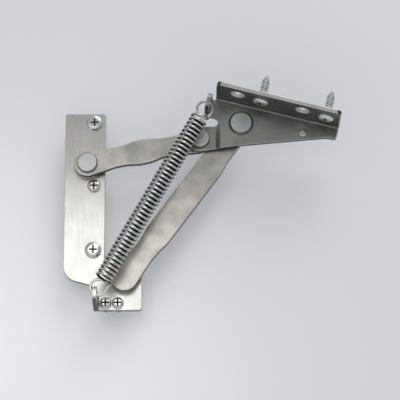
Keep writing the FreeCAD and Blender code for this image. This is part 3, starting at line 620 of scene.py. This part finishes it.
def wire_route(start, along, length, made):
    """Points along the wire: lower hook, neck, coil, neck and upper hook.

    start is the lower hook's middle, and length is how far above it the upper hook's is.
    """
    hook_sweep = math.radians(255)
    hook_steps = 30
    # each neck takes this much of a turn, in which the wire bends out of its hook's plane
    bend = 0.22 * math.pi
    bend_steps = 6
    turn_steps = 26
    side = Vector((along.z, 0, -along.x))
    out = Vector((0, 1, 0))
    radius = made.coil_radius

    def at(turn, height):
        return start + side * radius * math.cos(turn) + out * radius * math.sin(turn) + along * height

    def climb(share):
        return made.neck * (1 - (1 - share) ** 2)

    points = []
    for step in range(hook_steps + 1):
        turn = -hook_sweep * (1 - step / hook_steps)
        points.append(start + side * radius * math.cos(turn) + along * radius * math.sin(turn))
    for step in range(1, bend_steps + 1):
        share = step / bend_steps
        points.append(at(bend * share ** 2, climb(share)))
    coil_steps = made.turns * turn_steps
    coil_length = length - 2 * made.neck
    whole = 2 * math.pi * made.turns
    for step in range(1, coil_steps):
        share = step / coil_steps
        points.append(at(bend + (whole - 2 * bend) * share, made.neck + coil_length * share))
    for step in range(bend_steps, -1, -1):
        share = step / bend_steps
        points.append(at(whole - bend * share ** 2, length - climb(share)))
    for step in range(1, hook_steps + 1):
        turn = -hook_sweep * step / hook_steps
        points.append(
            start + side * radius * math.cos(turn) + along * (length - radius * math.sin(turn)))
    return points


def paint_coil_shade(wire, start, along, length, made):
    """Paint shade on the coil's wire where it looks inwards, from 0 outside to 1 inside."""
    # in wire radii: the painted shade starts this far outside the wire's middle, and fades over this
    dark_from = 0.9
    fade = 0.5
    painted_coil_shade = wire.data.attributes.new("inside", "FLOAT", "POINT")
    for index, vertex in enumerate(wire.data.vertices):
        place = vertex.co - start
        height = place.dot(along)
        away = (place - along * height).length
        edge = made.coil_radius + dark_from * made.wire_radius
        share = (edge - away) / (fade * made.wire_radius)
        coiled = made.neck < height < length - made.neck
        painted_coil_shade.data[index].value = min(max(share, 0.0), 1.0) if coiled else 0.0


# The stage


def flat_sheet(name, corners, material):
    mesh = bpy.data.meshes.new(name)
    mesh.from_pydata(corners, [], [tuple(range(len(corners)))])
    mesh.materials.append(material)
    sheet = in_scene(name, mesh)


def painted_board(name, colour, see_through):
    """Matt paint. A see-through board shows and catches shadow only on its front."""
    made = bpy.data.materials.new(name)
    made.use_nodes = True
    tree = made.node_tree
    surface = tree.nodes["Principled BSDF"]
    surface.inputs["Base Color"].default_value = linear(colour)
    surface.inputs["Roughness"].default_value = 0.7
    surface.inputs["Specular IOR Level"].default_value = 0.2
    if see_through:
        clear = node(tree, "ShaderNodeBsdfTransparent")
        shadow_ray = node(tree, "ShaderNodeLightPath").outputs["Is Shadow Ray"]
        back = node(tree, "ShaderNodeNewGeometry").outputs["Backfacing"]
        either = node(tree, "ShaderNodeMath", settings={"operation": "MAXIMUM"})
        tree.links.new(shadow_ray, either.inputs[0])
        tree.links.new(back, either.inputs[1])
        mixed = node(tree, "ShaderNodeMixShader", links={"Fac": either.outputs["Value"]})
        tree.links.new(surface.outputs["BSDF"], mixed.inputs[1])
        tree.links.new(clear.outputs["BSDF"], mixed.inputs[2])
        tree.links.new(mixed.outputs["Shader"], tree.nodes["Material Output"].inputs["Surface"])
    return made


def softbox(name, place, aim, size, power, spread=180):
    """A lamp in a square soft box. Slats over it narrow its beam to the spread in degrees."""
    light = bpy.data.lights.new(name, "AREA")
    light.shape = "RECTANGLE"
    light.size = size
    light.size_y = size
    light.energy = power
    light.spread = math.radians(spread)
    lamp = in_scene(name, light)
    lamp.location = place
    lamp.rotation_euler = (Vector(aim) - Vector(place)).to_track_quat("-Z", "Y").to_euler()
    lamp.visible_camera = False


def light_the_stay():
    """Three soft boxes, placed for a bright foot and a darker top. Powers are in watts."""
    stay = (0.03, 0.0, -0.03)
    # the low left box gives the plate and the lower arm their bright foot, and it is tilted
    # and slatted so that they stay grey from straight ahead
    softbox(
        "low_left_box", place=(-0.05, -0.20, -0.07), aim=(-0.04, 0.0, -0.131), size=0.18,
        power=0.036, spread=80)
    softbox("high_box", place=(0.35, -0.60, 0.75), aim=stay, size=0.60, power=2.75)
    softbox("rear_box", place=(-0.5, 0.9, 0.5), aim=stay, size=0.60, power=6.5)


def set_camera(scene, made):
    """The camera, which looks up at the stay from below."""
    looks_at = Vector((0.0511, -0.010, -0.0413))
    away = Vector((0, -math.cos(made.elevation), math.sin(made.elevation)))
    lens = bpy.data.cameras.new("camera")
    lens.lens = made.lens
    camera = in_scene("camera", lens)
    camera.location = looks_at + away * made.distance
    camera.rotation_euler = (-away).to_track_quat("-Z", "Y").to_euler()
    scene.camera = camera


# Operators, one for each group of pieces


class MakePressings(bpy.types.Operator):
    """Finish the base plate, both arms and the flap bracket, with sheared sides"""
    bl_idname = "stay.pressings"
    bl_label = "Pressed sheet"

    def execute(self, context):
        made = context.scene.stay_edges
        for part, (body, slot) in PRESSED.items():
            shape = merged_copy(part)
            mark_sheared(shape, made.thickest_sheet, made.widest_hole)
            mark_shaded_undersides(shape)
            finished(part, shape, body, slot, "sheared_and_shaded_side", "trimmed_side", "underside")
        return {"FINISHED"}


class MakeTurnings(bpy.types.Operator):
    """Finish the rivets, the stud, the rings and the washers, with turned rims"""
    bl_idname = "stay.turnings"
    bl_label = "Rivets and rings"

    def execute(self, context):
        for part, (body, slot) in TURNED.items():
            shape = merged_copy(part)
            mark_rims(shape)
            finished(part, shape, body, slot, "shaded_rim")
        for part in WASHERS:
            # a washer is all but hidden, so only its finish changes
            mesh = frame["nodes"][part].data
            mesh.materials.clear()
            mesh.materials.append(finishes()["ring_steel"])
        return {"FINISHED"}


class MakeScrews(bpy.types.Operator):
    """Finish the seven screws, with dark cross recesses"""
    bl_idname = "stay.screws"
    bl_label = "Screws"

    def execute(self, context):
        made = context.scene.stay_edges
        for part, (body, slot) in SCREWS.items():
            shape = merged_copy(part)
            mark_recess(shape, part, made.recess_reach, made.recess_drop)
            finished(part, shape, body, slot, "recess")
        return {"FINISHED"}


class MakeSpring(bpy.types.Operator):
    """Wind the tension spring as one wire, hook to hook"""
    bl_idname = "stay.spring"
    bl_label = "Tension spring"

    def execute(self, context):
        made = context.scene.stay_spring
        foot = Vector(joint("spring_swing")["pos_m"])
        along = Vector(joint("spring_stretch")["axis"])

        # both hooks' middles, read from how far the CAD hooks reach along the axis
        overhang = made.coil_radius + made.wire_radius
        low_hook = reach_along("tension_spring", foot, along, min) + overhang
        high_hook = reach_along("spring_top_hook", foot, along, max) - overhang
        length = high_hook - low_hook
        start = foot + along * low_hook

        points = wire_route(start, along, length, made)
        edges = [(index, index + 1) for index in range(len(points) - 1)]
        wire = run_tree(
            wound_wire_tree(), points, edges,
            {"Wire Radius": made.wire_radius, "Sides": made.wire_sides,
             "Finish": finishes()["spring_wire"]},
            "spring_wire")
        paint_coil_shade(wire, start, along, length, made)
        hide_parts("tension_spring", "spring_top_hook")
        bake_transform(wire)
        return {"FINISHED"}


class MakeThreads(bpy.types.Operator):
    """Wind a thread on each screw, one group for each body"""
    bl_idname = "stay.threads"
    bl_label = "Screw threads"

    def execute(self, context):
        made = context.scene.stay_thread
        point_length = 2.6 * MM
        tree = thread_tree()
        for body in ("base", "bracket"):
            names = [name for name, (rides, _) in SCREWS.items() if rides == body]
            shank = mount(names[0])
            shank_length = shank["dims"]["length_mm"] * MM
            direction = Vector(shank["axis"]).to_track_quat("Z", "Y").to_euler()
            threads = run_tree(
                tree, [Vector(mount(name)["pos_m"]) for name in names], [],
                {"Shank Radius": shank["dims"]["r_mm"] * MM, "Shank Length": shank_length,
                 "Shank Turns": shank_length / made.pitch, "Point Length": point_length,
                 "Point Turns": point_length / made.pitch, "Ridge": made.ridge,
                 "Rotation": direction, "Finish": finishes()["screw_steel"]},
                body + "_screw_threads")
            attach(threads, body)
        return {"FINISHED"}


class MakeStage(bpy.types.Operator):
    """Pale wall and floor, soft light and the camera"""
    bl_idname = "stay.stage"
    bl_label = "Stage"

    def execute(self, context):
        scene = context.scene
        made = scene.stay_stage
        scene.view_settings.view_transform = "Standard"
        # half the wall's width and the floor's height, in metres
        reach = 1.6
        ground = -0.75
        back = made.wall_gap
        flat_sheet(
            "wall",
            [(-reach, back, ground), (reach, back, ground), (reach, back, reach), (-reach, back, reach)],
            painted_board("Matt painted board, wall", made.wall, see_through=True))
        flat_sheet(
            "floor",
            [(-reach, -reach, ground), (reach, -reach, ground),
             (reach, reach, ground), (-reach, reach, ground)],
            painted_board("Matt painted board, floor", made.wall, see_through=False))

        world = bpy.data.worlds.new("Studio")
        scene.world = world
        world.use_nodes = True
        background = world.node_tree.nodes["Background"]
        background.inputs["Color"].default_value = linear(made.room)
        light_the_stay()
        set_camera(scene, made)
        return {"FINISHED"}


class StayPanel(bpy.types.Panel):
    """The lid stay's pieces and stage"""
    bl_idname = "VIEW3D_PT_lid_stay"
    bl_label = "Lid stay"
    bl_space_type = "VIEW_3D"
    bl_region_type = "UI"
    bl_category = "Lid stay"

    def draw(self, context):
        for maker in MAKERS:
            self.layout.operator(maker.bl_idname)
        for holder in SETTINGS:
            box = self.layout.box()
            for key in SETTINGS[holder].__annotations__:
                box.prop(getattr(context.scene, holder), key)


MAKERS = (MakePressings, MakeTurnings, MakeScrews, MakeSpring, MakeThreads, MakeStage)
SETTINGS = {
    "stay_edges": EdgeSettings,
    "stay_spring": SpringSettings,
    "stay_thread": ThreadSettings,
    "stay_finish": FinishSettings,
    "stay_stage": StageSettings,
}


def register():
    for thing in (*SETTINGS.values(), *MAKERS, StayPanel):
        bpy.utils.register_class(thing)
    for holder, kind in SETTINGS.items():
        setattr(bpy.types.Scene, holder, PointerProperty(type=kind))


def unregister():
    for holder in SETTINGS:
        delattr(bpy.types.Scene, holder)
    for thing in reversed((*SETTINGS.values(), *MAKERS, StayPanel)):
        bpy.utils.unregister_class(thing)


def main():
    register()
    for maker in MAKERS:
        family, action = maker.bl_idname.split(".")
        getattr(getattr(bpy.ops, family), action)()


if __name__ == "__main__":
    main()
